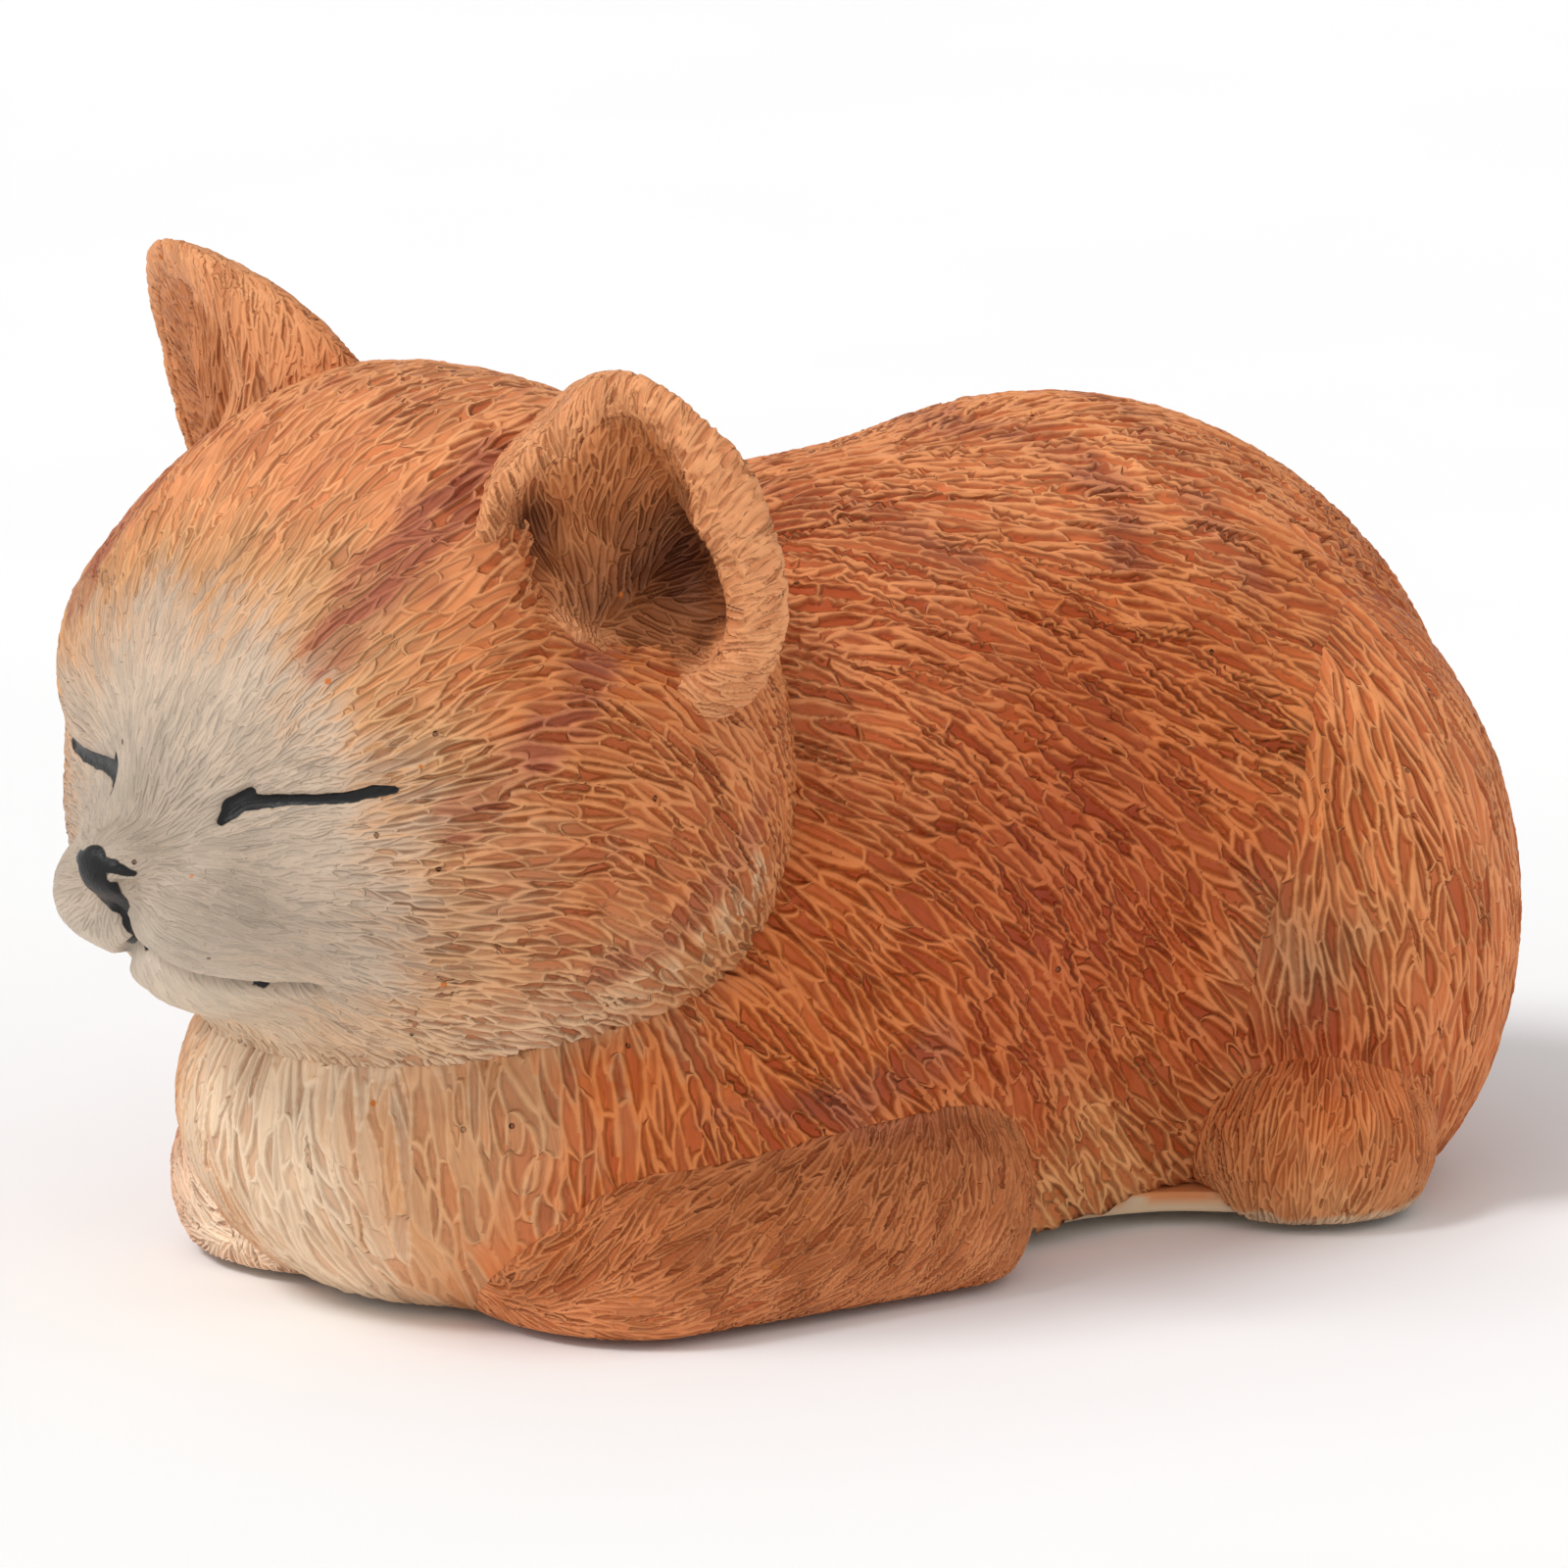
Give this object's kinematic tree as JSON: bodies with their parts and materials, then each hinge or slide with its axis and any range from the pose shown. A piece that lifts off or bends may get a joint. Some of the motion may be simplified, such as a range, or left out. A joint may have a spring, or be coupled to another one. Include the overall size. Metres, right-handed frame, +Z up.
{
  "type": "sleeping cat statue",
  "caption": "Small painted cast-resin figurine of a tabby kitten asleep with its paws tucked under, carved fur, upright ears and closed eyes, on an unpainted resin foot with soft pads.",
  "frame": {"origin": "On the ground under the middle of the figure's footprint box, at the underside of its foot pads.", "axes": "+Y runs from nose to rump, so the kitten faces -Y; +X is the kitten's left side; +Z is up."},
  "size_m": [0.0624, 0.1008, 0.0594],
  "materials": {
    "orange_coat": "hand-brushed orange and brown paint over carved fur on cast resin, satin",
    "face_coat": "cream paint brushed over with orange strokes and brown stripes on cast resin, satin",
    "ear_coat": "orange paint with brown shading in the hollow, satin",
    "bare_resin": "unpainted cream resin, sanded flat",
    "foam_pad": "matt black foam"
  },
  "bodies": {
    "root": {"base_slab": "bare_resin", "foot_pad_front_left": "foam_pad", "foot_pad_front_right": "foam_pad", "foot_pad_rear_left": "foam_pad", "foot_pad_rear_right": "foam_pad", "head": "face_coat", "left_ear": "ear_coat", "left_foreleg": "orange_coat", "left_haunch": "orange_coat", "left_hind_foot": "orange_coat", "right_ear": "ear_coat", "right_foreleg": "orange_coat", "right_haunch": "orange_coat", "right_hind_foot": "orange_coat", "tail": "orange_coat", "torso": "orange_coat"}
  },
  "joints": []
}
